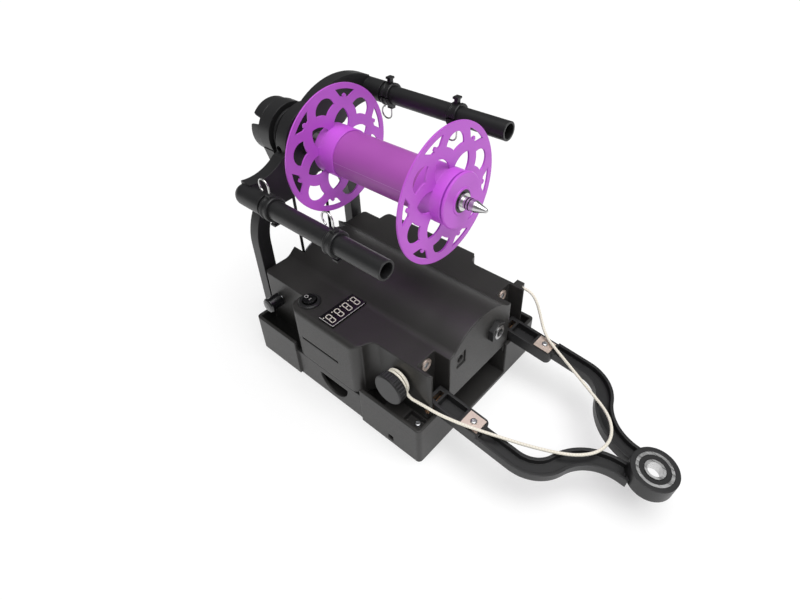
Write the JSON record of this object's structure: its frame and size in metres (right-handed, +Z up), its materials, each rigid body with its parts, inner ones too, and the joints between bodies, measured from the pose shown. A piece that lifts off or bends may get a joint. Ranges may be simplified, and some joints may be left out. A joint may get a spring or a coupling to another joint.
{
  "type": "electric spinning wheel",
  "caption": "Motor-driven spinning wheel with a pierced-flange bobbin on a belt-driven flyer, a fold-down yoke, a cord brake, a speed knob and a display on a box base.",
  "frame": {"origin": "middle of the underside of the base", "axes": "+X along the flyer axis from the orifice to the yoke, -Y the side with the controls, +Z up"},
  "size_m": [0.3279, 0.134, 0.203],
  "materials": {
    "black_plastic": "charcoal moulded plastic, fine grain",
    "satin_black": "black plastic, satin",
    "gloss_black": "polished black plastic",
    "purple_plastic": "orchid purple plastic, satin gloss",
    "core_purple": "purple plastic tube",
    "steel": "ground steel",
    "nickel": "nickel plate with a warm tint",
    "wire": "drawn wire",
    "rubber": "black rubber",
    "cord": "braided cream cord",
    "grey_plastic": "light grey plastic",
    "motor_can": "zinc plated can",
    "board": "green circuit board",
    "glass_black": "dark display filter"
  },
  "bodies": {
    "base": {"base_tray": "black_plastic", "top_cover": "black_plastic", "inner_shelf": "black_plastic", "foot_pads": "rubber", "cover_screws": "steel", "flyer_arch": "black_plastic", "arch_screws": "steel", "arch_bearing_outer": "steel", "arch_bearing_seals": "rubber", "motor": "motor_can", "motor_bracket": "motor_can", "motor_screws": "steel", "drive_belt": "rubber", "control_board": "board", "display": "glass_black", "rocker_bezel": "satin_black", "speed_pot": "steel", "power_inlet": "satin_black", "pedal_jack": "steel", "pedal_nut": "satin_black", "hinge_pins": "steel", "latch_magnets": "nickel", "latch_screws": "steel", "brake_bolt": "steel", "brake_cord": "cord", "cord_anchor": "black_plastic"},
    "flyer": {"flyer_bow": "black_plastic", "orifice_quill": "satin_black", "whorl": "satin_black", "flyer_shaft": "steel", "arm_tube_near": "satin_black", "arm_tube_far": "satin_black", "arch_bearing_inner": "steel"},
    "bobbin": {"bobbin_core": "core_purple", "front_flange": "purple_plastic", "rear_flange": "purple_plastic", "bobbin_bushes": "satin_black"},
    "yoke": {"yoke_frame": "satin_black", "yoke_bearing_outer": "steel", "yoke_bearing_seals": "rubber", "strike_plates": "nickel", "plate_screws": "steel"},
    "yoke_race": {"yoke_bearing_inner": "steel"},
    "motor_pulley": {"motor_pulley": "grey_plastic"},
    "speed_knob": {"speed_knob": "gloss_black"},
    "brake_knob": {"brake_knob": "satin_black", "brake_winding": "cord"},
    "rocker": {"rocker": "gloss_black"},
    "clip_near_a": {"clip_near_a": "satin_black", "hook_near_a": "wire"},
    "clip_near_b": {"clip_near_b": "satin_black", "hook_near_b": "wire"},
    "clip_far_a": {"clip_far_a": "satin_black", "hook_far_a": "wire"},
    "clip_far_b": {"clip_far_b": "satin_black", "hook_far_b": "wire"}
  },
  "joints": [
    {"name": "flyer_spin", "type": "hinge", "parent": "base", "child": "flyer", "pos_m": [-0.095, 0, 0.1595], "axis": [1, 0, 0], "continuous": true},
    {"name": "bobbin_spin", "type": "hinge", "parent": "flyer", "child": "bobbin", "pos_m": [0, 0, 0.1595], "axis": [1, 0, 0], "continuous": true},
    {"name": "motor_spin", "type": "hinge", "parent": "base", "child": "motor_pulley", "pos_m": [-0.0811, 0, 0.05], "axis": [1, 0, 0], "continuous": true},
    {"name": "yoke_hinge", "type": "hinge", "parent": "base", "child": "yoke", "pos_m": [0.077, 0, 0.035], "axis": [0, -1, 0], "range_deg": [0, 96], "deforming": ["brake_cord"]},
    {"name": "yoke_race_spin", "type": "hinge", "parent": "yoke", "child": "yoke_race", "pos_m": [0.20192, 0, 0.03243], "axis": [0.1045, 0, 0.9945], "continuous": true},
    {"name": "speed_turn", "type": "hinge", "parent": "base", "child": "speed_knob", "pos_m": [-0.0665, -0.059, 0.0495], "axis": [0, -1, 0], "range_deg": [-150, 150]},
    {"name": "brake_turn", "type": "hinge", "parent": "base", "child": "brake_knob", "pos_m": [0.0555, -0.059, 0.0505], "axis": [0, -1, 0], "range_deg": [0, 40]},
    {"name": "rocker_tilt", "type": "hinge", "parent": "base", "child": "rocker", "pos_m": [-0.0278, -0.0535, 0.068], "axis": [0, 1, 0], "range_deg": [-8, 8]},
    {"name": "clip_near_a_slide", "type": "slide", "parent": "flyer", "child": "clip_near_a", "axis": [1, 0, 0], "range_m": [-0.0015, 0.026]},
    {"name": "clip_near_b_slide", "type": "slide", "parent": "flyer", "child": "clip_near_b", "axis": [1, 0, 0], "range_m": [-0.018, 0.033]},
    {"name": "clip_far_a_slide", "type": "slide", "parent": "flyer", "child": "clip_far_a", "axis": [1, 0, 0], "range_m": [-0.0015, 0.026]},
    {"name": "clip_far_b_slide", "type": "slide", "parent": "flyer", "child": "clip_far_b", "axis": [1, 0, 0], "range_m": [-0.018, 0.033]}
  ],
  "couplings": [
    {"joint": "motor_spin", "follows": "flyer_spin", "ratio": 1.0685}
  ]
}
